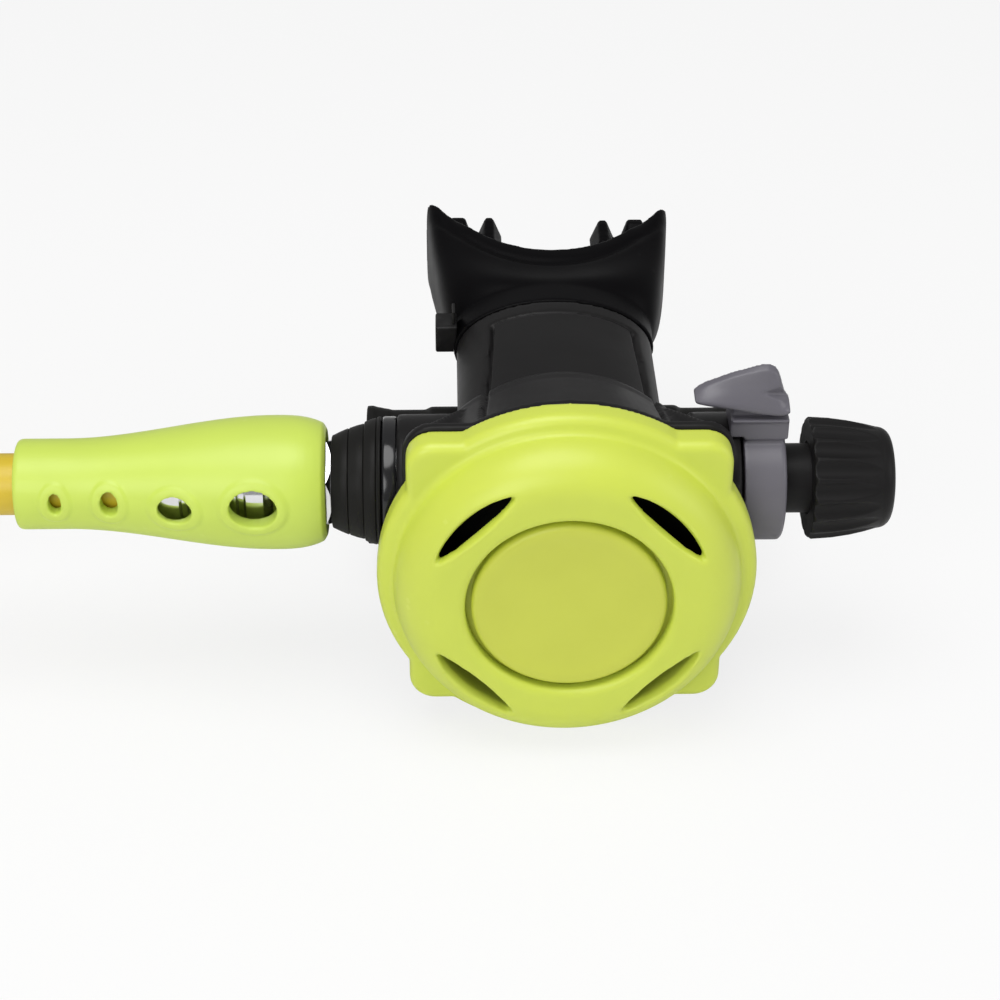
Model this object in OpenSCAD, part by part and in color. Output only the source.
// Scuba second stage: a purge cover over a diaphragm, an adjustable demand valve in a barrel across the case,
// a mouthpiece, an exhaust tee and the low-pressure hose with both its ends.
// X runs along the barrel towards the adjusting knob, Y towards the mouthpiece, Z up.
// The origin lies on the flat foot of the exhaust tee, straight below the barrel.

/* [Front cover] */
// Radius of the cover's rim, which touches the ground
cover_r = 36.2; // [35.8:0.1:37.4]
// Distance from the barrel's axis forward to the joint of cover and case
cover_back = 15; // [14.6:0.1:16]
// Height of the cover's rim, front to back
rim_h = 5.6; // [5:0.1:6.4]
// Rounding of the rim's front edge
rim_round = 2.2; // [1:0.1:2.6]
// Width of the flat rim round the dome
rim_w = 3.2; // [2.6:0.1:3.6]
// Height of the dome above the rim
dome_h = 9.4; // [8.6:0.1:10.4]
// Width of the dome's flank, foot to crest
dome_flank = 8.5; // [7.5:0.1:9.2]
// How far the straight sides of the square of ears lie inside the rim
ear_in = 5.9; // [5.2:0.1:6.4]
// Radius of each ear's corner
ear_r = 5; // [4:0.1:7]
// Rounding of the ears' front edge
ear_round = 1.8; // [1:0.1:3]
// Wall of the cover
cover_wall = 2; // [1.6:0.1:2.4]
// Length of each slot
slot_len = 21.2; // [17:0.1:23]
// Outward bulge of each slot
slot_out = 3.2; // [2.4:0.1:3.6]
// Inward bulge of each slot
slot_in = 1; // [0.6:0.1:1.6]
// How far a slot's chord lies outside the dome's crest
slot_off = 0.3; // [0:0.1:1.1]

/* [Purge button] */
// Radius of the button
button_r = 18.4; // [16:0.1:18.8]
// Gap round the button in the cover
button_gap = 1.1; // [0.6:0.1:1.4]
// Width of the flange that keeps the button in
button_lip = 1.4; // [1:0.1:1.6]
// How far the button sits below the crest
button_sink = 0.7; // [0.4:0.1:1.6]
// Depth of the dish in the button's face
button_dish = 0.8; // [0.2:0.1:1.2]
// Radius of the button's stem
stem_r = 5; // [4:0.1:5.6]
// Turns of the purge spring
purge_turns = 4; // [3:1:5]
// Wire of the purge spring
purge_wire = 0.8; // [0.6:0.1:1]

/* [Diaphragm] */
// Thickness of the membrane
membrane_t = 0.7; // [0.5:0.1:0.9]
// How far the membrane's bead lies inside the cover's rim
bead_in = 3; // [2.8:0.1:3.4]
// Thickness of the membrane's bead
bead_t = 1.9; // [1.6:0.1:2]
// Radius of the hard centre disc
disc_r = 16.5; // [14:0.1:18]
// Thickness of the centre disc
disc_t = 1.4; // [1:0.1:1.6]
// Depth of the retainer's ring
retainer_t = 1.8; // [1.4:0.1:2.2]
// Width of the retainer's ring
retainer_w = 3.4; // [2.4:0.1:4]
// Number of the retainer's spokes
retainer_spokes = 4; // [4:2:8]

/* [Case] */
// How far the drum lies inside its flange
drum_in = 1.2; // [0.6:0.1:1.3]
// How much the drum tapers to the back
drum_taper = 5; // [4.2:0.1:5.6]
// Distance from the barrel's axis back to the drum's rear wall
drum_back = 13; // [12.6:0.1:13.6]
// Rounding of the drum's back edge
drum_fillet = 8; // [6:0.1:9]
// Wall of the case
case_wall = 2; // [1.6:0.1:2.2]
// Thickness of the flange under the cover
flange_t = 2.2; // [1.8:0.1:2.6]
// How far the flange lies inside the cover's rim
flange_in = 0.4; // [0.2:0.1:0.9]
// How far the flange's square stands out past the cover's ears
flange_out = 0.7; // [0.3:0.1:1.3]
// Radius of the flange's corners
flange_corner = 6; // [4:0.1:8]
// Thickness of the four ribs behind the ears
gusset_t = 5; // [3:0.5:7]
// Radius of the bosses that hold the barrel
boss_r = 13; // [12.4:0.1:13.4]
// End of the left boss from the middle
boss_left = 32.3; // [31.8:0.1:32.6]
// How far the right boss ends inside the drum's side
boss_right_in = 1.2; // [0.8:0.1:1.6]
// Inner end of the left boss from the middle
boss_in = 20; // [19.5:0.1:22]
// Inner end of the right boss from the middle, clear of the demand lever
boss_in_right = 24.2; // [24:0.1:26]

/* [Neck and top panel] */
// Half width of the neck
neck_a = 20.5; // [20:0.1:21.5]
// Half height of the neck
neck_b = 12; // [11.4:0.1:12.4]
// Height of the neck's axis
neck_z = 48; // [47.8:0.1:48.6]
// Distance from the barrel's axis back to the neck's end
neck_end = 46; // [42:0.5:50]
// Length of the spigot inside the mouthpiece
spigot_len = 7; // [6:0.5:7]
// Thickness of the panel let into the top
panel_t = 1.2; // [0.8:0.1:1.5]
// Gap along the panel's seams
panel_seam = 0.35; // [0.2:0.05:0.5]
// Left edge of the panel at the mouthpiece
panel_left = 13.5; // [11:0.1:15]
// Right edge of the panel at the mouthpiece
panel_right = 16.5; // [14:0.1:17]
// How much each edge runs outward towards the cover
panel_flare = 3; // [1:0.1:4]
// How far the panel ends before the neck's end
panel_end = 4.8; // [2:0.1:8]

/* [Valve barrel] */
// Height of the barrel's axis above the cover's axis
barrel_rise = 9.4; // [9:0.1:9.8]
// Outer radius of the barrel
barrel_r = 6.5; // [6.3:0.1:6.6]
// Bore of the barrel
barrel_bore = 4.6; // [4.4:0.1:4.7]
// Radius of the orifice's hole
orifice_hole = 2; // [1.6:0.1:2.2]
// Radius of the poppet's stem
poppet_stem_r = 1.9; // [1.6:0.1:2]
// Radius of the poppet's head
poppet_head_r = 4.3; // [4:0.1:4.35]
// Radius of the poppet's rubber seat
seat_r = 3.5; // [3:0.1:3.6]
// Turns of the poppet's spring
poppet_turns = 5; // [4:1:6]
// Wire of the poppet's spring
poppet_wire = 0.6; // [0.5:0.1:0.7]

/* [Demand lever] */
// Distance from the middle to the lever's pivot
lever_pivot_x = 22; // [21:0.1:22.5]
// Reach of the lever from its pivot to its tip
lever_reach = 25; // [23:0.1:27]
// Width of the lever's arm
lever_w = 4; // [3:0.1:5]
// Thickness of the lever's metal
lever_t = 1.2; // [0.8:0.1:1.3]

/* [Adjusting knob] */
// Radius of the knob at its inner end
knob_r = 12; // [11:0.1:13]
// Radius of the knob where its end begins to round
knob_end_r = 9.9; // [9.4:0.1:10.6]
// Length of the knob
knob_len = 16; // [15:0.1:18]
// Number of grip flutes
flutes = 18; // [12:1:20]
// Depth of each flute at the knob's inner end
flute_depth = 0.7; // [0.4:0.1:0.9]
// Radius of the neck between the collar and the knob
packing_r = 6.8; // [6.4:0.1:7]
// Radius of the adjusting spindle
spindle_r = 3.2; // [3:0.1:3.4]

/* [Venturi lever] */
// Radius of the lever's collar
collar_r = 12; // [11.6:0.1:12.5]
// Length of the collar along the barrel
collar_w = 8.1; // [7.6:0.1:8.6]
// Height of the paddle's tip above the barrel's axis
paddle_top = 27.2; // [25:0.1:28]
// How far the paddle reaches past the collar's left end
paddle_reach = 9.4; // [8:0.1:10]
// Thickness of the paddle, front to back
paddle_t = 4.5; // [3.5:0.1:5.5]
// Distance from the barrel's axis forward to the paddle's face
paddle_front = 5.5; // [4.5:0.1:6]

/* [Exhaust] */
// Height of the exhaust port's axis
exhaust_z = 21.5; // [21.3:0.1:21.6]
// Radius of the exhaust flap
flap_r = 12.3; // [11:0.1:12.5]
// Thickness of the exhaust flap in the middle
flap_t = 1.2; // [0.8:0.1:1.4]
// Number of holes under the flap
port_holes = 6; // [5:1:6]
// Radius of each hole under the flap
port_hole_r = 3; // [2:0.1:3.2]
// Half width of the tee, mouth to mouth
tee_half = 39.6; // [38:0.1:40.5]
// Distance from the barrel's axis back to the tee's rear face
tee_back = 47.5; // [44:0.5:49]
// Distance from the barrel's axis back to the tee's front face
tee_front = 14.8; // [14.6:0.1:15.4]
// How far the front face is swept back at the mouths
tee_sweep = 12; // [8:0.5:15]
// Depth of the duct below the exhaust port's axis
duct_b = 12.9; // [12.2:0.1:13.2]
// Height of the duct above the exhaust port's axis
duct_top = 13.8; // [13.2:0.1:14.2]
// Height of the tee's broad middle above the exhaust port's axis
box_top = 14.6; // [14:0.1:14.8]
// Half width of the tee's broad middle
box_half = 26.3; // [24:0.1:28]
// Rounding of the duct's corners
duct_round = 6; // [4:0.1:8]
// Wall of the tee
tee_wall = 1.8; // [1.4:0.1:2.2]
// Half width of the tee's foot
foot_half = 17; // [14:0.5:20]
// How far the foot reaches forward under the drum
foot_front = 4; // [2:0.1:5]

/* [Mouthpiece] */
// Length of the mouthpiece from the neck to the lip shield's middle
mouth_len = 24; // [22:0.5:27]
// How far the lip shield curves back at its ends
shield_sweep = 18; // [14:0.5:20]
// Half width of the lip shield
shield_a = 26.9; // [24:0.1:28]
// Half height of the lip shield in the middle
shield_b = 8.8; // [8:0.1:10]
// How much higher the lip shield is at its corners
shield_corner = 3.4; // [2:0.1:4]
// Height of the lip shield's middle above the neck's axis
shield_rise = 2.6; // [1:0.1:3.4]
// Wall of the mouthpiece
mouth_wall = 2.2; // [1.8:0.1:2.6]
// Length of the bite tabs
tab_len = 17.5; // [14:0.5:19]
// Thickness of the bite tabs
tab_t = 3.2; // [2.6:0.1:4]
// Width of the cable tie
tie_w = 4.8; // [4:0.1:5]
// Thickness of the cable tie's strap
tie_t = 1.2; // [0.8:0.1:1.4]

/* [Inlet] */
// Radius of the inlet's male thread
inlet_r = 7.1; // [7:0.05:7.2]
// Bore of the inlet
inlet_bore = 3.5; // [3:0.1:3.8]
// Radius of the collar's widest step
boot_r = 12.6; // [12.3:0.1:12.8]
// Left end of the collar from the middle
boot_end = 44.9; // [44.4:0.1:45]
// Radius of the glossy ring
ring_r = 12.6; // [12.2:0.1:12.8]

/* [Hose ends] */
// Width across the flats of the second-stage nut
nut_flats = 16; // [15.6:0.1:16.4]
// Length of the second-stage nut
nut_len = 11; // [10.5:0.1:11.5]
// Radius of the ferrules
ferrule_r = 8; // [7.6:0.1:8.2]
// Length of the ferrules
ferrule_len = 22.5; // [20:0.5:24]
// Number of crimp grooves in a ferrule
crimps = 4; // [3:1:6]
// Radius of the first-stage thread, 3/8-24
port_r = 4.76; // [4.7:0.01:4.8]
// Length of the first-stage thread
port_len = 9; // [8:0.5:10]
// Width across the flats of the first-stage hexagon
port_flats = 14.3; // [13.8:0.1:15]
// Length of the first-stage hexagon
port_hex_len = 8; // [6:0.5:10]

/* [Hose sleeve] */
// Radius of the sleeve at its narrow end
sleeve_small_r = 8.8; // [8.4:0.1:9.2]
// Greatest radius of the sleeve
sleeve_big_r = 13.05; // [12.6:0.05:13.4]
// Radius of the sleeve's mouth
sleeve_mouth_r = 10.8; // [10.6:0.1:11.2]
// Mouth of the sleeve from the middle
sleeve_mouth = 45.3; // [45.2:0.1:46]
// Length of the sleeve
sleeve_len = 60.2; // [59:0.1:61.5]
// Radius of the sleeve's wide bore
sleeve_bore = 9.8; // [9.7:0.1:9.9]

/* [Hose] */
// Radius of the hose
hose_r = 6.1; // [5.8:0.1:6.1]
// Distance between turns of the coil, middle to middle
coil_pitch = 12.7; // [12.7:0.1:13.5]

/* [Fits] */
// Radial clearance of a fixed fit
fit = 0.05; // [0.03:0.01:0.08]
// Radial clearance of a running fit
run = 0.1; // [0.06:0.01:0.1]
// Clearance between pieces that move past each other
gap = 0.3; // [0.25:0.05:0.4]

/* [Hidden] */
$fn = 64;

// Colours
black_plastic = [0.10, 0.10, 0.11];
black_gloss = [0.05, 0.05, 0.06];
black_rubber = [0.08, 0.08, 0.09];
lime = [0.82, 0.92, 0.30];
yellow = [0.93, 0.76, 0.16];
grey = [0.50, 0.50, 0.55];
chrome = [0.80, 0.80, 0.82];
brass = [0.74, 0.63, 0.38];
clear_rubber = [0.78, 0.78, 0.74];

// Axes
cover_z = cover_r;
barrel_z = cover_z + barrel_rise;

// Cover and button, as distances forward of the barrel's axis
rim_front = cover_back + rim_h;
crest = rim_front + dome_h;
dome_r = cover_r - rim_w;
crest_r = dome_r - dome_flank;
ear_half = cover_r - ear_in;
slot_at = crest_r + slot_off;
lip_r = button_r + button_gap;
lip_back = crest - 1.6 * cover_wall;
button_front = crest - button_sink;
flange_front = lip_back - gap;
button_back = flange_front - 1.7;
bead_r = cover_r - bead_in;
ledge_r = bead_r - 2;
ledge_front = cover_back - 2;
membrane_back = ledge_front + 1;
membrane_front = membrane_back + membrane_t;
retainer_front = cover_back + retainer_t;
hub_r = stem_r + gap;
purge_spring_r = hub_r + 1.6;

// Case
flange_r = cover_r - flange_in;
flange_half = ear_half + flange_out;
drum_r = flange_r - drum_in;
drum_back_r = drum_r - drum_taper;
boss_right = drum_r - boss_right_in;

// Barrel parts, as distances along X from the middle
counterbore_end = 22.4;
groove_x = -21.3;
inlet_thread_r = barrel_bore + 1.2;
orifice_face = -16.5;
nut_face = lever_pivot_x + 0.7;
nut_back = nut_face + 2.2;
pivot_y = barrel_r + gap;

// Collar of the venturi lever, and the right end of the barrel inside it
collar_left = boss_right + 0.6;
collar_right = collar_left + collar_w;
barrel_right = collar_right - 1.4;
pad_face = barrel_right - 7.1;
pad_back = pad_face + 2.8;
packing_in = barrel_right - 2.9;
packing_end = barrel_right + 10.3;
packing_groove = packing_end - 5.9;
knob_in = packing_end - 3.5;
guide_r = 9.6;
guide_end = boss_right + 3.8;
vane_r = barrel_r + run + 0.8;
vane_end = collar_right - 1.8;
recess_r = 9.2;
paddle_tip = collar_left - paddle_reach;
stalk_front = paddle_front - 0.5;
stalk_w = 8;
stalk_h = 16.5;
web_left = guide_end + 0.2;
web_right = barrel_right - 0.1;

// Exhaust
housing_r = 14.5;
housing_back = drum_back + 3;
valve_seat_r = 12.9;
flap_hub_r = flap_r / 3;
flap_stem_r = 1.4;
flap_stem_len = 6;
tee_mouth_half = (tee_back - tee_front - tee_sweep) / 2;
tee_flare = [[35, 0.3], [36.6, 0.6], [38, 0.95]];
duct_mid = exhaust_z + (duct_top - duct_b) / 2;
duct_half = (duct_top + duct_b) / 2;
foot_h = 2.6;

// Inlet and hose ends
boot_start = boss_left + 2.9;
ring_gap = 0.7;
// The collar's steps: where each ends from the ring, its radius there, and its radius at its start
boot_steps = [[1, 0.1, 0], [3.4, 0.9, 0.3], [6.4, 2.1, 1.4], [boot_end - boot_start, 3.5, 2.3]];
nut_right = boot_end + 0.1;
nut_left = nut_right + nut_len;
ferrule_right = nut_left + 0.5;
ferrule_left = ferrule_right + ferrule_len;
tail_flange = nut_left - 3;

// Hose: the free stretch leaves the ferrule along -X and starts down towards the ground
hose_pitch = 24;
coil_start = [-156, 0, 35.24];
hose_points = [[-79, 0, 45.6], [-86, 0, 45.6], [-93, 0, 45.6], [-100, 0, 45.6], [-106, 0, 45.6],
    [-112, 0, 45.6], [-118, 0, 45.6], [-122, 0, 45.57], [-127, 0, 45.2], [-132, 0, 44.4], [-137, 0, 43.2],
    [-141, 0, 41.8], [-145, 0, 40.14], [-149, 0, 38.36], coil_start + [3, 0, 3 * tan(hose_pitch)],
    coil_start];
coil_x = -216;
coil_inner = 55;
coil_turns = 1.75;
landing_r = 150;
slope_run = 36.3;
landing_run = landing_r * sin(hose_pitch);
lead_run = coil_start[0] - coil_x;
coil_rate = coil_pitch / 360;
coil_step = 16.9;
spiral_run = coil_inner * coil_turns * 2 * PI + coil_pitch / (2 * PI) * (coil_turns * 2 * PI) ^ 2 / 2;
coil_run = lead_run + spiral_run;
end_rise_run = 80;
far_axis_z = ferrule_r + 0.1;
hose_d = 2 * hose_r;

// ---- helpers ----

// Local z runs forward from the barrel's axis, along the cover's axis
module on_cover_axis() translate([0, 0, cover_z]) rotate([90, 0, 0]) children();

// Local z runs along the barrel towards the knob
module on_barrel() translate([0, 0, barrel_z]) rotate([0, 90, 0]) children();

// Local z runs back along the neck
module on_neck(y = 0) translate([0, y, neck_z]) rotate([-90, 0, 0]) children();

// A part turned about the barrel's axis, from points of radius and distance along X
module turned(points) on_barrel() rotate_extrude() polygon(points);

// A part turned about the cover's axis, from points of radius and distance forward
module turned_front(points) on_cover_axis() rotate_extrude() polygon(points);

module rounded_square(half_x, half_y, r) {
    square([2 * half_x, 2 * (half_y - r)], center = true);
    square([2 * (half_x - r), 2 * half_y], center = true);
    for (x = [-1, 1], y = [-1, 1]) translate([x * (half_x - r), y * (half_y - r)]) circle(r = r);
}

// An ellipse, a half wide and b half high
module oval(a, b) scale([a / b, 1]) circle(r = b);

// Two arcs on one chord, bulging by up and by down
module lens(chord, up, down) {
    up_r = (chord ^ 2 / 4 + up ^ 2) / (2 * up);
    down_r = (chord ^ 2 / 4 + down ^ 2) / (2 * down);
    intersection() {
        translate([0, up - up_r]) circle(r = up_r);
        translate([0, down_r - down]) circle(r = down_r);
    }
}

function arc(x, y, rx, ry, a0, a1, n) =
    [for (i = [0:n]) let (a = a0 + (a1 - a0) * i / n) [x + rx * cos(a), y + ry * sin(a)]];

function unit(v) = v / norm(v);

function direction(p, i) = unit(p[min(i + 1, len(p) - 1)] - p[max(i - 1, 0)]);

// A tube of n sides along points; ref is a direction that the path never takes
module tube(points, r, n, ref) {
    count = len(points);
    rings = [for (i = [0:count - 1])
        let (t = direction(points, i), u = unit(cross(ref, t)), v = cross(t, u))
        for (k = [0:n - 1]) let (a = 90 + 360 * k / n) points[i] + r * (cos(a) * u + sin(a) * v)];
    sides = [for (i = [0:count - 2], k = [0:n - 1])
        let (a = i * n + k, b = i * n + (k + 1) % n, c = b + n, d = a + n)
        each [[a, d, c], [a, c, b]]];
    last = (count - 1) * n;
    caps = [for (k = [1:n - 2]) each [[0, k, k + 1], [last, last + k + 1, last + k]]];
    polyhedron(rings, concat(sides, caps), convexity = 10);
}

// A coil spring along local z, with its end turns closed
module spring(r, wire, length, turns) {
    steps = 8 * turns;
    rise = length - wire;
    points = [for (i = [0:steps]) let (s = i / steps, a = 360 * turns * s,
        h = s < 1 / turns ? 0.35 * s : s > 1 - 1 / turns ? 1 - 0.35 * (1 - s)
            : 0.35 / turns + (s - 1 / turns) * (1 - 0.7 / turns) / (1 - 2 / turns))
        [r * cos(a), r * sin(a), wire / 2 + rise * h]];
    tube(points, wire / 2, 6, [0, 0, 1]);
}

// ---- cover and button ----

function cover_outside() = concat(
    [[0, cover_back], [cover_r, cover_back]],
    arc(cover_r - rim_round, rim_front - rim_round, rim_round, rim_round, 0, 90, 6),
    [[dome_r + 0.6, rim_front]],
    arc(crest_r, rim_front, dome_flank, dome_h, 5, 90, 10),
    arc(lip_r + 1.4, crest - 1.2, 1.4, 1, 90, 180, 5),
    [[lip_r, lip_back + 0.4], [0, lip_back + 0.4]]);

function cover_inside() = concat(
    [[0, cover_back - 1], [bead_r + 0.2, cover_back - 1], [bead_r + 0.2, rim_front - cover_wall - 0.3]],
    arc(crest_r, rim_front, dome_flank - cover_wall, dome_h - cover_wall, 0, 90, 10),
    [[lip_r + button_lip + gap, lip_back], [0, lip_back]]);

module ear_block() {
    flat = ear_half - ear_r;
    profile = concat([[0, 0]], [[ear_half, 0]],
        arc(ear_half - ear_round, rim_h - ear_round, ear_round, ear_round, 0, 90, 5), [[0, rim_h]]);
    corner = concat([[0, 0], [ear_r, 0]],
        arc(ear_r - ear_round, rim_h - ear_round, ear_round, ear_round, 0, 90, 5), [[0, rim_h]]);
    for (turn = [0:90:270]) rotate(turn) {
        translate([flat, flat]) rotate_extrude() polygon(corner);
        rotate([90, 0, 0]) translate([0, 0, -flat]) linear_extrude(2 * flat) polygon(profile);
    }
}

module front_cover() color(lime) difference() {
    union() {
        turned_front(cover_outside());
        on_cover_axis() translate([0, 0, cover_back]) ear_block();
    }
    turned_front(cover_inside());
    on_cover_axis() {
        cylinder(r = lip_r, h = crest + 1);
        for (turn = [45:90:315]) rotate(turn - 90) translate([0, slot_at, rim_front - 1])
            linear_extrude(dome_h + 2) lens(slot_len, slot_out, slot_in);
    }
}

module purge_button() color(lime) {
    turned_front(concat(
        [[0, membrane_front + gap], [stem_r, membrane_front + gap], [stem_r, button_back]],
        [[lip_r + button_lip, button_back], [lip_r + button_lip, flange_front]],
        [[button_r, flange_front]],
        arc(button_r - 1.2, button_front - 1.2, 1.2, 1.2, 0, 90, 5),
        arc(0, button_front, button_r - 3, -button_dish, 0, 90, 8)));
}

module purge_spring() color(chrome)
    on_cover_axis() translate([0, 0, retainer_front])
        spring(purge_spring_r, purge_wire, button_back - retainer_front - fit, purge_turns);

// ---- diaphragm ----

module diaphragm() color(black_rubber) {
    roll_at = (disc_r + ledge_r) / 2;
    roll_r = (ledge_r - disc_r) / 2 - 2;
    turned_front(concat(
        [[0, membrane_back], [roll_at - roll_r, membrane_back]],
        arc(roll_at, membrane_back, roll_r, -1.6, 180, 0, 8),
        [[ledge_r, membrane_back], [ledge_r, cover_back - bead_t], [bead_r, cover_back - bead_t]],
        [[bead_r, cover_back], [ledge_r, cover_back], [ledge_r, membrane_front]],
        arc(roll_at, membrane_front, roll_r - membrane_t, -1.5, 0, 180, 8),
        [[0, membrane_front]]));
}

module diaphragm_disc() color(grey)
    turned_front([[0, membrane_back - disc_t], [disc_r - 1, membrane_back - disc_t],
        [disc_r, membrane_back - 0.6], [disc_r, membrane_back], [0, membrane_back]]);

module diaphragm_retainer() color(black_plastic) {
    inner = bead_r - retainer_w;
    on_cover_axis() translate([0, 0, cover_back]) {
        linear_extrude(retainer_t) difference() {
            circle(r = bead_r);
            circle(r = inner);
        }
        linear_extrude(retainer_t) difference() {
            circle(r = purge_spring_r + 1.6);
            circle(r = hub_r);
        }
        for (i = [0:retainer_spokes - 1]) rotate(360 * i / retainer_spokes)
            translate([purge_spring_r + 1, -1.5, 0]) cube([inner - purge_spring_r, 3, retainer_t]);
    }
}

// ---- case ----

// The drum's section, w in from its outside
function drum(w) = concat(
    [[0, w - drum_back]],
    arc(drum_back_r - drum_fillet, drum_fillet - drum_back, drum_fillet - w, drum_fillet - w, -90, 0, 6),
    [[drum_r - w, cover_back - flange_t], [drum_r - w, cover_back], [0, cover_back]]);

module neck_solid(w, y1) on_neck() linear_extrude(y1) oval(neck_a - w, neck_b - w);

module top_skin(depth) difference() {
    union() {
        turned_front(drum(0));
        neck_solid(0, neck_end);
    }
    turned_front(drum(depth));
    neck_solid(depth, neck_end + 1);
}

// The panel's outline seen from above, drawn in by inset on each side
module panel_outline(inset) {
    front = flange_t - cover_back + inset;
    back = neck_end - panel_end - inset;
    translate([0, 0, neck_z + 2]) linear_extrude(cover_z) polygon([
        [-panel_left - panel_flare + inset, front], [panel_right + panel_flare - inset, front],
        [panel_right - inset, back], [-panel_left + inset, back]]);
}

module gusset() {
    back = drum_back - drum_fillet - 0.6;
    translate([0, gusset_t / 2, 0]) rotate([90, 0, 0]) linear_extrude(gusset_t) polygon([
        [drum_back_r - case_wall / 2, -back], [drum_back_r + 0.8, -back],
        [flange_half * sqrt(2) - flange_corner * 0.6, cover_back - flange_t + 0.1],
        [drum_r - case_wall / 2, cover_back - flange_t + 0.1]]);
}

// A round bar along the exhaust port's axis, from t0 to t1 forward of the barrel's axis
module exhaust_bore(r, t0, t1)
    translate([0, -t0, exhaust_z]) rotate([-90, 0, 0]) cylinder(r = r, h = t0 - t1);

module case() color(black_plastic) difference() {
    union() {
        difference() {
            union() {
                turned_front(drum(0));
                neck_solid(0, neck_end);
                neck_solid(mouth_wall, neck_end + spigot_len);
                exhaust_bore(housing_r, 2, -housing_back);
            }
            turned_front(drum(case_wall));
            neck_solid(mouth_wall + case_wall, neck_end + spigot_len + 1);
        }
        on_cover_axis() translate([0, 0, cover_back - flange_t]) linear_extrude(flange_t) {
            circle(r = flange_r);
            rounded_square(flange_half, flange_half, flange_corner);
        }
        on_cover_axis() for (turn = [45:90:315]) rotate(turn) gusset();
        on_barrel() {
            translate([0, 0, -boss_left]) cylinder(r = boss_r, h = boss_left - boss_in);
            translate([0, 0, boss_in_right]) cylinder(r = boss_r, h = boss_right - boss_in_right);
            translate([0, 0, boss_in_right]) cylinder(r = guide_r, h = guide_end - boss_in_right);
        }
    }
    on_cover_axis() {
        translate([0, 0, cover_back - 5]) cylinder(r = ledge_r, h = 6);
        translate([0, 0, ledge_front]) cylinder(r = bead_r + 0.2, h = 3);
    }
    on_barrel() {
        translate([0, 0, -boss_left - 1]) cylinder(r = barrel_r + fit, h = boss_left + 1);
        cylinder(r = vane_r + run, h = guide_end + 1);
        translate([0, 0, -boss_left - 6]) cylinder(r = ring_r + 0.25, h = 6);
    }
    exhaust_bore(valve_seat_r, -drum_back, -housing_back - 1);
    exhaust_bore(flap_stem_r + 2 * run, -drum_back + flap_stem_len - 2, -drum_back - 1);
    for (i = [0:port_holes - 1]) let (a = 360 * i / port_holes + 90)
        translate([7.6 * cos(a), 0, 7.6 * sin(a)]) exhaust_bore(port_hole_r, -drum_back + 6, -drum_back - 1);
    intersection() {
        top_skin(panel_t);
        panel_outline(0);
    }
}

module top_panel() color(black_plastic) intersection() {
    top_skin(panel_t - fit);
    panel_outline(panel_seam);
}

module exhaust_valve() color(clear_rubber) translate([0, 0, exhaust_z]) rotate([-90, 0, 0])
    rotate_extrude() polygon([
        [0, drum_back - flap_stem_len], [flap_stem_r, drum_back - flap_stem_len + 0.6],
        [flap_stem_r, drum_back + fit], [flap_r, drum_back + fit], [flap_r, drum_back + flap_t / 2],
        [flap_hub_r, drum_back + flap_t], [0, drum_back + flap_t]]);

// ---- exhaust tee ----

// The tee seen from above, w in from its outside; its inside runs out through both mouths
module tee_plan(w) {
    half = tee_half + (w > 0 ? 1 : 0);
    bend = [for (i = [0:10]) let (x = 15 + (half - 15) * i / 10)
        [x, tee_front + w + tee_sweep * ease((x - 15) / (tee_half - 15))]];
    polygon(concat(bend, [[half, tee_back - w], [-half, tee_back - w]],
        [for (i = [10:-1:0]) [-bend[i][0], bend[i][1]]]));
}

module tee_duct(w) {
    middle = (tee_front + tee_back) / 2;
    intersection() {
        linear_extrude(2 * duct_mid) tee_plan(w);
        translate([-tee_half - 2, middle, duct_mid]) rotate([90, 0, 90]) linear_extrude(2 * tee_half + 4)
            rounded_square((tee_back - tee_front) / 2 - w, duct_half - w, duct_round - w);
    }
}

// The broad middle, a little higher than the duct
module tee_box() {
    middle = (tee_front + tee_back) / 2;
    half = (box_top + duct_b) / 2 - 0.2;
    intersection() {
        linear_extrude(2 * duct_mid) tee_plan(0);
        translate([-box_half, middle, exhaust_z + box_top - half]) rotate([90, 0, 90])
            linear_extrude(2 * box_half)
                rounded_square((tee_back - tee_front) / 2 - 0.1, half, duct_round);
    }
}

// One ring of a mouth's flare, from x out to the mouth, grown by lip
module tee_lip(side, x, lip) {
    translate([side > 0 ? x : -tee_half, tee_back - tee_mouth_half, duct_mid]) rotate([90, 0, 90])
        linear_extrude(tee_half - x)
            rounded_square(tee_mouth_half + lip, duct_half + lip, duct_round + lip);
}

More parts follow.
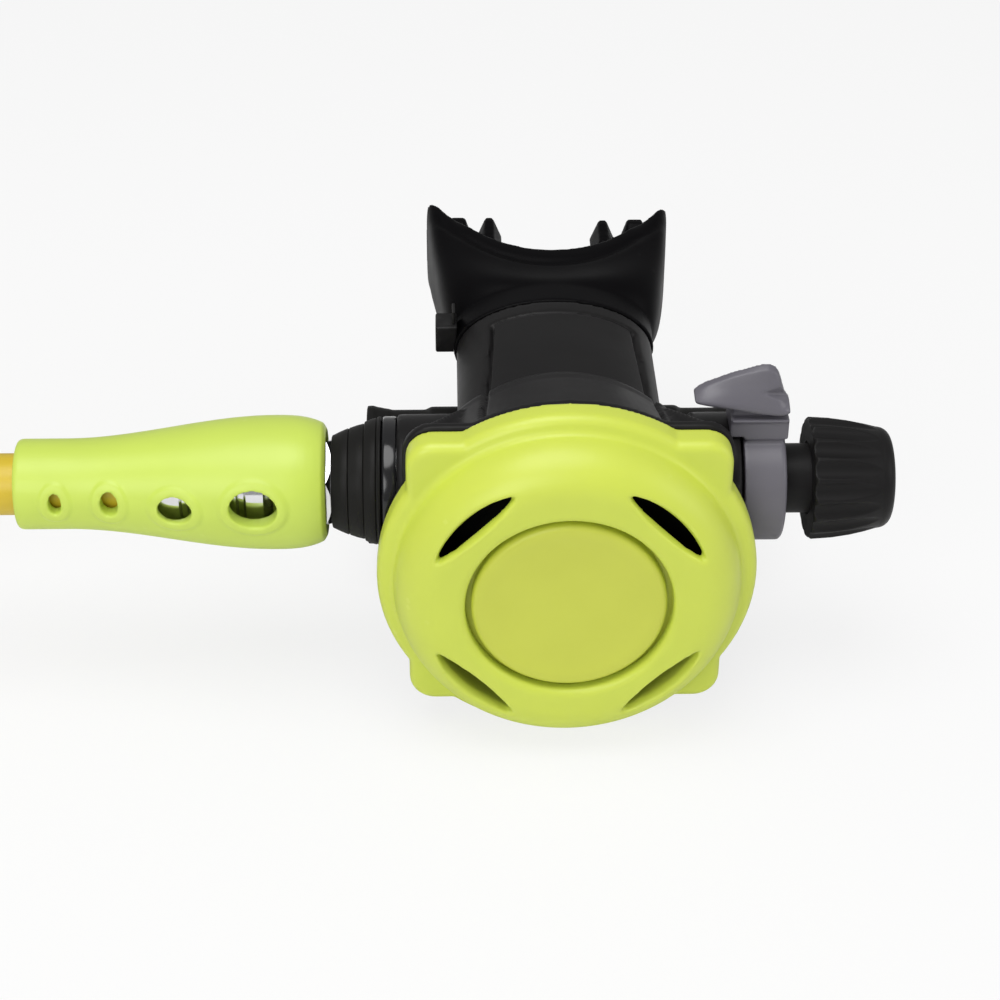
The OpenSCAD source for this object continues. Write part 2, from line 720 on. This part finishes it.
module exhaust_tee() color(black_rubber) difference() {
    foot_back = tee_back - 8;
    duct_under = exhaust_z - duct_b + 1;
    waist_half = 10;
    waist_h = 8;
    union() {
        tee_duct(0);
        tee_box();
        for (side = [-1, 1], ring = tee_flare) tee_lip(side, ring[0], ring[1]);
        exhaust_bore(housing_r + fit + tee_wall, -drum_back - 0.6, -tee_front - 2);
        // the foot, drawn in under the duct and reaching forward under the drum
        intersection() {
            translate([0, foot_back, 0]) rotate([90, 0, 0]) linear_extrude(foot_back + foot_front)
                polygon(concat(
                    [[-foot_half, 0], [foot_half, 0], [foot_half, foot_h]],
                    arc(foot_half, foot_h + waist_h, foot_half - waist_half, waist_h, -90, -180, 5),
                    arc(-foot_half, foot_h + waist_h, foot_half - waist_half, waist_h, 0, -90, 5),
                    [[-foot_half, foot_h]]));
            rotate([90, 0, 90]) translate([0, 0, -foot_half]) linear_extrude(2 * foot_half) polygon([
                [-foot_front, 0], [foot_back, 0], [foot_back, foot_h], [foot_back - 4, duct_under],
                [drum_back + 5, duct_under], [drum_back - 2, foot_h], [-foot_front, foot_h]]);
            translate([0, (foot_back - foot_front) / 2, 0]) linear_extrude(exhaust_z)
                rounded_square(foot_half, (foot_back + foot_front) / 2, 6);
        }
    }
    tee_duct(tee_wall);
    exhaust_bore(housing_r + fit, -drum_back + 2, -housing_back - 0.3);
    exhaust_bore(valve_seat_r, -drum_back, -tee_front - tee_wall - 2);
    neck_solid(-fit, neck_end);
}

// ---- mouthpiece ----

function shield_y(x) = neck_end + mouth_len + shield_sweep * (x / shield_a) ^ 2;

// Half width, half height and rise of the mouthpiece's section, s from the tie to the lip edge
function mouth_a(s) = neck_a + 0.3 + (shield_a - neck_a - 0.3) * s ^ 0.55;
function mouth_b(s) = neck_b - 0.3 + (shield_b - neck_b + 0.3) * s - 0.9 * sin(180 * s);
function mouth_rise(s) = shield_rise * s;

// The section is an ellipse at the tie and nearly a rectangle at the lip: its reach in direction a
function mouth_reach(s, a) = let (n = 2 + 5.5 * s) (abs(cos(a)) ^ n + abs(sin(a)) ^ n) ^ (-1 / n);

// A point on the mouthpiece, w in from its outside, at angle a round it
function mouth_point(s, a, w) =
    let (reach = mouth_reach(s, a), x = (mouth_a(s) - w) * cos(a) * reach,
        corner = shield_corner * s * (x / shield_a) ^ 2,
        z = (mouth_b(s) - w + corner) * sin(a) * reach, y0 = neck_end + tie_w + 2.4)
    [x, y0 + (shield_y(x) - y0) * s, neck_z + mouth_rise(s) + z];

mouth_sides = 32;
mouth_rings = 8;

module mouth_shell() {
    n = mouth_sides;
    m = mouth_rings;
    outer = [for (i = [0:m], k = [0:n - 1]) mouth_point(i / m, 360 * k / n, 0)];
    inner = [for (i = [0:m], k = [0:n - 1])
        mouth_point(i / m, 360 * k / n, i == m ? mouth_wall / 2 : mouth_wall)];
    off = (m + 1) * n;
    walls = [for (i = [0:m - 1], k = [0:n - 1])
        let (a = i * n + k, b = i * n + (k + 1) % n, c = b + n, d = a + n)
        each [[a, b, c], [a, c, d], [off + a, off + c, off + b], [off + a, off + d, off + c]]];
    ends = [for (k = [0:n - 1]) let (a = k, b = (k + 1) % n, c = m * n + k, d = m * n + (k + 1) % n)
        each [[a, off + b, b], [a, off + a, off + b], [c, d, off + d], [c, off + d, off + c]]];
    polyhedron(concat(outer, inner), concat(walls, ends), convexity = 8);
}

module bite_tab(side) {
    z = neck_z + shield_rise;
    inner = 13;
    outer = 24.4;
    tip = shield_y(inner) + tab_len;
    hull() for (p = [[inner, shield_y(inner) - 3], [outer, shield_y(outer) - 3], [inner, tip],
            [outer - 2.4, tip - 0.8]])
        translate([side * p[0], p[1], z]) sphere(d = tab_t, $fn = 16);
    // the wing that the teeth hold, on the tab's inner edge
    hull() for (y = [tip - tab_len * 0.5, tip])
        translate([side * inner, y, z]) scale([0.6, 1, 3.4]) sphere(d = tab_t, $fn = 16);
}

module mouthpiece() color(black_rubber) {
    difference() {
        union() {
            on_neck(neck_end + fit) linear_extrude(1.2) oval(neck_a + 0.6, neck_b);
            on_neck(neck_end + 0.6) linear_extrude(tie_w + 1.4) oval(neck_a + 0.6 - tie_t, neck_b - tie_t);
            on_neck(neck_end + tie_w + 1.6) linear_extrude(1) oval(neck_a + 0.6, neck_b);
        }
        on_neck(neck_end - 1) linear_extrude(tie_w + 5)
            oval(neck_a - mouth_wall + fit, neck_b - mouth_wall + fit);
    }
    mouth_shell();
    for (side = [-1, 1]) bite_tab(side);
}

module mouthpiece_tie() color(black_plastic) {
    y = neck_end + 1.2 + 2 * fit;
    on_neck(y) linear_extrude(tie_w - fit) difference() {
        oval(neck_a + 0.6 + fit, neck_b + fit);
        oval(neck_a + 0.6 - tie_t + fit, neck_b - tie_t + fit);
    }
    // the head: its inner half lies between the collars, and its cheeks lie on them
    difference() {
        translate([-neck_a - 4.4, y - 0.8, neck_z - 0.7]) cube([4.6, tie_w + 1.6, 6.1]);
        on_neck(y - 2) linear_extrude(tie_w + 4) oval(neck_a + 0.6 + 3 * fit, neck_b + 3 * fit);
    }
    translate([-neck_a - 1.4, y, neck_z - 0.4]) cube([1.6, tie_w - fit, 5.5]);
}

// ---- barrel and its inside ----

module barrel_o_ring() color(black_rubber) o_ring(-groove_x, barrel_r - 0.45, 0.42);

module o_ring(x, r, section) turned([for (a = [0:30:330]) [r + section * cos(a), -x + section * sin(a)]]);

module valve_barrel() color(brass) difference() {
    turned([[barrel_bore, -boss_left], [barrel_r, -boss_left], [barrel_r, groove_x - 0.5],
        [barrel_r - 0.95, groove_x - 0.5], [barrel_r - 0.95, groove_x + 0.5], [barrel_r, groove_x + 0.5],
        [barrel_r, barrel_right], [barrel_bore, barrel_right]]);
    on_barrel() {
        translate([0, 0, -boss_left - 1])
            cylinder(r = inlet_thread_r + fit, h = boss_left + 1 - counterbore_end);
        translate([0, 0, packing_in]) cylinder(r = inlet_thread_r - 0.3 + fit, h = 10);
    }
    // window for the lever, and the outlet towards the neck
    translate([lever_pivot_x - 9, -barrel_r - 1, barrel_z - 4.3]) cube([11.8, barrel_r + 0.2, 8.6]);
    translate([-9, 0, barrel_z]) rotate([-90, 0, 0]) cylinder(r = 2.6, h = barrel_r + 1);
    translate([-2, 0, barrel_z]) rotate([-90, 0, 0]) cylinder(r = 2.6, h = barrel_r + 1);
}

module inlet_fitting() color(chrome) turned([
    [inlet_bore, -nut_left + 4.8], [inlet_r - 0.6, -nut_left + 4.8], [inlet_r, -nut_left + 5.4],
    [inlet_r, -boot_start],
    [ring_r - 4, -boot_start], [ring_r - 4, -boss_left - ring_gap], [ring_r - 1.4, -boss_left - ring_gap],
    [ring_r - 1.4, -boss_left - fit], [inlet_thread_r, -boss_left - fit], [inlet_thread_r, -counterbore_end],
    [inlet_bore, -counterbore_end]]);

module inlet_ring() color(black_gloss) turned([
    [ring_r - 4 + fit, -boot_start], [ring_r - 0.8, -boot_start], [ring_r, -boot_start + 0.5],
    [ring_r, -boss_left - 0.5], [ring_r - 0.4, -boss_left - fit], [ring_r - 1.4 + fit, -boss_left - fit],
    [ring_r - 1.4 + fit, -boss_left - ring_gap - fit], [ring_r - 4 + fit, -boss_left - ring_gap - fit]]);

module inlet_boot() color(black_rubber) {
    starts = concat([0], [for (step = boot_steps) step[0]]);
    rings = [for (i = [0:len(boot_steps) - 1])
        let (x0 = -boot_start - fit - starts[i], x1 = -boot_start - fit * (i < 3 ? 1 : 0) - starts[i + 1])
        each [[boot_r - boot_steps[i][2] - 0.3, x0], [boot_r - boot_steps[i][2], x0 - 0.25],
            [boot_r - boot_steps[i][1], x1 + 0.3], [boot_r - boot_steps[i][1] - 0.3, x1]]];
    turned(concat([[inlet_r + fit, -boot_start - fit]], rings, [[inlet_r + fit, -boot_end]]));
}

module orifice() color(chrome) {
    r = barrel_bore - fit;
    turned([[orifice_hole, -counterbore_end + fit], [r, -counterbore_end + fit], [r, -20.6], [r - 0.9, -20.6],
        [r - 0.9, -19.4], [r, -19.4], [r, -18.2], [orifice_hole + 0.9, -17.6],
        [orifice_hole + 0.3, orifice_face],
        [orifice_hole, orifice_face]]);
}

module orifice_o_ring() color(black_rubber) o_ring(20, barrel_bore - 0.5, 0.4);

module poppet_seat() color(black_rubber)
    turned([[0, orifice_face + 0.2], [seat_r, orifice_face + 0.2], [seat_r, orifice_face + 1.8],
        [0, orifice_face + 1.8]]);

module poppet() color(brass) turned([
    [0, orifice_face + 1.8], [seat_r + fit, orifice_face + 1.8], [seat_r + fit, orifice_face + 0.4],
    [poppet_head_r, orifice_face + 0.4], [poppet_head_r, orifice_face + 4],
    [poppet_stem_r, orifice_face + 5.5],
    [poppet_stem_r, nut_back + 1.2], [poppet_stem_r - 0.5, nut_back + 1.7], [0, nut_back + 1.7]]);

module lever_nut() color(chrome) on_barrel() translate([0, 0, nut_face]) difference() {
    cylinder(r = 4, h = nut_back - nut_face);
    translate([0, 0, -1]) cylinder(r = poppet_stem_r + fit, h = 4);
}

module poppet_spring() color(chrome)
    on_barrel() translate([0, 0, nut_back + fit])
        spring(3.2, poppet_wire, pad_face - nut_back - 2 * fit, poppet_turns);

// Two legs reach into the barrel, and one arm slants down to the middle of the diaphragm
module demand_lever() color(chrome) {
    leg_z = poppet_stem_r + 0.4;
    tip_y = membrane_back - disc_t - gap;
    tip_z = cover_z + 1.5;
    for (side = [0, 1])
        translate([nut_face - gap - lever_t, -pivot_y - lever_t, barrel_z]) mirror([0, 0, side])
        translate([0, 0, leg_z]) cube([lever_t, pivot_y + lever_t - 0.5, 1.6]);
    translate([lever_pivot_x - 4, -pivot_y - lever_t, barrel_z - leg_z - 1.6])
        cube([nut_face - gap - lever_pivot_x + 4, lever_t, 2 * leg_z + 3.2]);
    hull() {
        translate([lever_pivot_x - 4, -pivot_y - lever_t, barrel_z - lever_w / 2])
            cube([1, lever_t, lever_w]);
        translate([lever_pivot_x - lever_reach + 2, -tip_y, tip_z - lever_w / 2]) cube([1, lever_t, lever_w]);
    }
    translate([lever_pivot_x - lever_reach + 1, -tip_y, tip_z]) rotate([-90, 0, 0])
        cylinder(r = lever_w / 2 + 0.4, h = lever_t);
}

// ---- adjuster ----

module spring_pad() color(brass) turned([
    [0, pad_face - 2], [1.9, pad_face - 2], [1.9, pad_face], [barrel_bore - run, pad_face],
    [barrel_bore - run, pad_back], [0, pad_back]]);

module adjusting_screw() color(chrome) turned([
    [0, pad_back + fit], [spindle_r - 0.4, pad_back + fit], [spindle_r, pad_back + 0.5],
    [spindle_r, knob_in + knob_len - 4], [0, knob_in + knob_len - 4]]);

module packing_nut() color(black_plastic) turned([
    [spindle_r + run, packing_in], [inlet_thread_r - 0.3, packing_in],
    [inlet_thread_r - 0.3, barrel_right + fit], [recess_r - 0.2, barrel_right + fit],
    [recess_r - 0.2, collar_right - 0.3], [packing_r, collar_right - 0.3],
    [packing_r, packing_end - 0.4], [packing_r - 0.4, packing_end], [spindle_r + run, packing_end],
    [spindle_r + run, packing_groove + 2], [spindle_r + 1.9, packing_groove + 2],
    [spindle_r + 1.9, packing_groove], [spindle_r + run, packing_groove]]);

module knob_o_ring() color(black_rubber) o_ring(-packing_groove - 1, spindle_r + 1, 0.85);

// Radius of the knob's bulging side, d from its inner end
knob_side = knob_len - 2.5;
function knob_at(d) = knob_r - (knob_r - knob_end_r) * (d / knob_side) ^ 2;

module adjusting_knob() color(black_plastic) difference() {
    end = knob_in + knob_len;
    flute_r = 2.4;
    flute_end = knob_side - 0.3;
    lean = atan((knob_r - flute_depth - knob_at(flute_end)) / flute_end);
    turned(concat([[0, knob_in], [knob_r - 0.5, knob_in]],
        [for (d = [0.5, 4.5, 8, 11, knob_side]) [knob_at(d), knob_in + d]],
        arc(knob_end_r - 2.3, end - 2.5, 2.3, 2.5, 8, 90, 6), [[0, end]]));
    on_barrel() {
        translate([0, 0, knob_in - 1]) cylinder(r = packing_r + gap, h = packing_end - knob_in + 4.9);
        cylinder(r = spindle_r + fit, h = end - 4 + fit);
        for (i = [0:flutes - 1]) rotate(360 * (i + 0.5) / flutes)
            translate([knob_r - flute_depth, 0, knob_in]) rotate([0, -lean, 0])
                translate([flute_r, 0, -1]) cylinder(r = flute_r, h = knob_len + 1);
    }
}

// ---- venturi lever ----

module venturi_lever() color(grey) difference() {
    union() {
        turned([[0, collar_left], [collar_r, collar_left], [collar_r, collar_right - 0.6],
            [collar_r - 0.6, collar_right], [0, collar_right]]);
        // the block on the collar, and the paddle that overhangs it
        translate([collar_left - 2.8, -stalk_front, barrel_z + boss_r - 1])
            cube([collar_w + 3.1, stalk_w, stalk_h - boss_r + 1]);
        translate([collar_left + 0.4, -stalk_front + 0.3, barrel_z])
            cube([collar_w - 0.8, stalk_w - 0.6, boss_r + 1]);
        translate([0, paddle_t - paddle_front, barrel_z]) rotate([90, 0, 0])
            linear_extrude(paddle_t) polygon([
            [paddle_tip + 0.6, stalk_h + 2.8], [paddle_tip, stalk_h + 3.7], [paddle_tip + 0.2, stalk_h + 5.1],
            [paddle_tip + 1.4, stalk_h + 5.8], [collar_left + 4.3, paddle_top - 0.1],
            [collar_left + 6.3, paddle_top], [collar_left + 7.4, paddle_top - 0.8],
            [collar_left + 7.6, paddle_top - 2.2], [collar_left + 6.9, paddle_top - 3.8],
            [collar_right - 0.3, paddle_top - 5.7], [collar_right + 0.9, stalk_h + 2.9],
            [collar_right + 0.5, stalk_h + 1.7], [collar_right + 0.1, stalk_h - 0.5],
            [collar_left - 2.6, stalk_h - 0.5], [collar_left - 2.6, stalk_h + 2.6]]);
    }
    on_barrel() {
        translate([0, 0, collar_left - 20]) cylinder(r = boss_r + 0.45, h = 20 - 0.01);
        cylinder(r = guide_r + 0.15, h = web_left);
        cylinder(r = vane_r + fit, h = 60);
        translate([0, 0, web_right]) cylinder(r = recess_r, h = 5);
    }
}

module venturi_vane() color(grey) difference() {
    turned([[barrel_r + run, -9], [vane_r, -9], [vane_r, vane_end], [barrel_r + run, vane_end]]);
    // only the part behind the barrel stays inside the drum
    translate([-10, -10, barrel_z - 10]) cube([boss_in_right + 9.8, 15, 20]);
}

// ---- hose and its ends ----

module hexagon(flats, length) intersection() {
    cylinder(d = flats / cos(30), h = length, $fn = 6);
    rotate_extrude() polygon([[0, 0], [flats / 2 + 0.2, 0], [flats / cos(30) / 2 + 0.1, 1],
        [flats / cos(30) / 2 + 0.1, length - 1], [flats / 2 + 0.2, length], [0, length]]);
}

module hose_nut() color(chrome) on_barrel() translate([0, 0, -nut_left]) difference() {
    hexagon(nut_flats, nut_len);
    translate([0, 0, nut_left - tail_flange]) cylinder(r = inlet_r + fit, h = nut_len);
    translate([0, 0, -1]) cylinder(r = 5, h = nut_len);
}

module hose_tail() color(brass) turned([
    [2.2, -ferrule_right + fit], [4.9, -ferrule_right + fit], [4.9, -tail_flange + fit],
    [6.8, -tail_flange + fit],
    [6.8, -nut_left + 4.7], [inlet_bore - fit, -nut_left + 4.7], [inlet_bore - fit, -nut_left + 6],
    [inlet_bore - 0.8, -nut_left + 6], [inlet_bore - 0.8, -nut_left + 7.2],
    [inlet_bore - fit, -nut_left + 7.2],
    [inlet_bore - fit, -nut_left + 8.6], [2.2, -nut_left + 8.6]]);

module tail_o_ring() color(black_rubber) o_ring(nut_left - 6.6, inlet_bore - 0.42, 0.36);

// A crimped ferrule along local z, with its narrow end last
module ferrule() {
    pitch = (ferrule_len - 8) / crimps;
    rings = [for (i = [0:crimps - 1]) let (z = 5 + i * pitch)
        each [[ferrule_r, z], [ferrule_r - 0.7, z + 0.5], [ferrule_r - 0.7, z + pitch * 0.4],
            [ferrule_r, z + pitch * 0.4 + 0.5]]];
    rotate_extrude() polygon(concat([[2.2, 0], [ferrule_r - 0.3, 0], [ferrule_r, 0.4]], rings,
        [[ferrule_r, ferrule_len - 1.4], [ferrule_r - 1.4, ferrule_len], [2.2, ferrule_len]]));
}

module hose_ferrule() color(chrome) on_barrel() translate([0, 0, -ferrule_left]) ferrule();

function ease(s) = s <= 0 ? 0 : s >= 1 ? 1 : s * s * (3 - 2 * s);

swell_start = 96;
swell_end = 56;
function sleeve_r(x) = x > swell_end
    ? sleeve_small_r + (sleeve_big_r - sleeve_small_r) * ease((swell_start - x) / (swell_start - swell_end))
    : sleeve_big_r - (sleeve_big_r - sleeve_mouth_r) * ((swell_end - x) / (swell_end - sleeve_mouth)) ^ 3;

// Windows: distance from the middle, half length, half height, offset from the axis
windows = [[59.9, 4.4, 3.35, -1], [74.8, 3.15, 2.2, -0.5], [87.3, 1.65, 2.1, 0.5], [97.7, 1.15, 1.75, 0.6]];

// An opening with round ends, a half long and b half high
module window(a, b) {
    r = min(a, b);
    for (s = [-1, 1]) translate([s * (a - r), s * (b - r)]) circle(r = r);
    if (a > b) square([2 * (a - r), 2 * b], center = true);
    else square([2 * a, 2 * (b - r)], center = true);
}

module hose_sleeve() color(lime) difference() {
    end = sleeve_mouth + sleeve_len;
    step = 2.5;
    outside = [for (i = [0:floor((end - 2 - sleeve_mouth) / step)]) let (x = sleeve_mouth + i * step)
        [sleeve_r(x), -x]];
    turned(concat([[sleeve_bore, -sleeve_mouth], [sleeve_mouth_r - 0.6, -sleeve_mouth]],
        [for (p = outside) if (p[1] < -sleeve_mouth) p],
        [[sleeve_small_r, -end + 0.6], [sleeve_small_r - 0.6, -end], [hose_r + gap, -end],
        [hose_r + gap, -ferrule_left - 4.5], [sleeve_bore - 1.2, -ferrule_left - 1.5],
        [sleeve_bore, -ferrule_left + 3]]));
    for (w = windows) translate([-w[0], 20, barrel_z + w[3]]) rotate([90, 0, 0]) linear_extrude(40)
        window(w[1], w[2]);
}

module hose() color(yellow) tube(hose_points, hose_r, 10, [0, 0, 1]);

// Point of the coil's path at plan distance d from its start
function spiral_turn(s) = (sqrt(coil_inner ^ 2 + 2 * coil_pitch / (2 * PI) * s) - coil_inner)
    / (coil_pitch / (2 * PI)) * 180 / PI;
function coil_height(d) =
    d < slope_run ? coil_start[2] - d * tan(hose_pitch)
    : d < slope_run + landing_run
        ? hose_r + landing_r - sqrt(landing_r ^ 2 - (slope_run + landing_run - d) ^ 2)
    : hose_r + (far_axis_z - hose_r) * ease((d - coil_run + end_rise_run) / end_rise_run);
function coil_point(d) = d <= lead_run
    ? [coil_start[0] - d, 0, coil_height(d)]
    : let (a = spiral_turn(d - lead_run), r = coil_inner + coil_rate * a)
        [coil_x - r * sin(a), coil_inner - r * cos(a), coil_height(d)];

coil_end = coil_point(coil_run);
coil_points = concat(
    [for (d = [0, hose_d * cos(hose_pitch)]) coil_point(d)],
    [for (d = [hose_d * cos(hose_pitch) + coil_step:coil_step:coil_run - 4]) coil_point(d)],
    [coil_end, coil_end + [0, -hose_d, 0]]);

fine_points = [for (d = [0:4:coil_run]) coil_point(d)];
coil_gap = min([for (i = [0:len(fine_points) - 1], j = [i + 12:1:len(fine_points) - 1])
    norm(fine_points[i] - fine_points[j])]) - hose_d;
echo(least_gap_between_turns = coil_gap);

module hose_coil() color(yellow) tube(coil_points, hose_r, 6, [0, 0, 1]);

// Local z runs on along the hose past the coil
module on_far_end(z = 0) translate(coil_end + [0, -hose_d - fit, 0]) rotate([90, 0, 0]) translate([0, 0, z])
    children();

module far_ferrule() color(chrome) on_far_end() ferrule();

module far_fitting() color(chrome) on_far_end(ferrule_len + fit) difference() {
    union() {
        hexagon(port_flats, port_hex_len);
        translate([0, 0, port_hex_len - 1]) cylinder(r = port_r - 0.8, h = 4);
        translate([0, 0, port_hex_len + 2]) cylinder(r = port_r, h = port_len);
    }
    translate([0, 0, -1]) cylinder(r = 2.2, h = 40);
}

module far_o_ring() color(black_rubber) on_far_end(ferrule_len + fit + port_hex_len + 1)
    rotate_extrude() translate([port_r + 0.1, 0]) circle(r = 0.85);

case();
top_panel();
front_cover();
purge_button();
purge_spring();
diaphragm();
diaphragm_disc();
diaphragm_retainer();
exhaust_valve();
exhaust_tee();
mouthpiece();
mouthpiece_tie();
valve_barrel();
barrel_o_ring();
inlet_fitting();
inlet_ring();
inlet_boot();
orifice();
orifice_o_ring();
poppet();
poppet_seat();
lever_nut();
poppet_spring();
demand_lever();
spring_pad();
adjusting_screw();
packing_nut();
knob_o_ring();
adjusting_knob();
venturi_lever();
venturi_vane();
hose_nut();
hose_tail();
tail_o_ring();
hose_ferrule();
hose_sleeve();
hose();
hose_coil();
far_ferrule();
far_fitting();
far_o_ring();
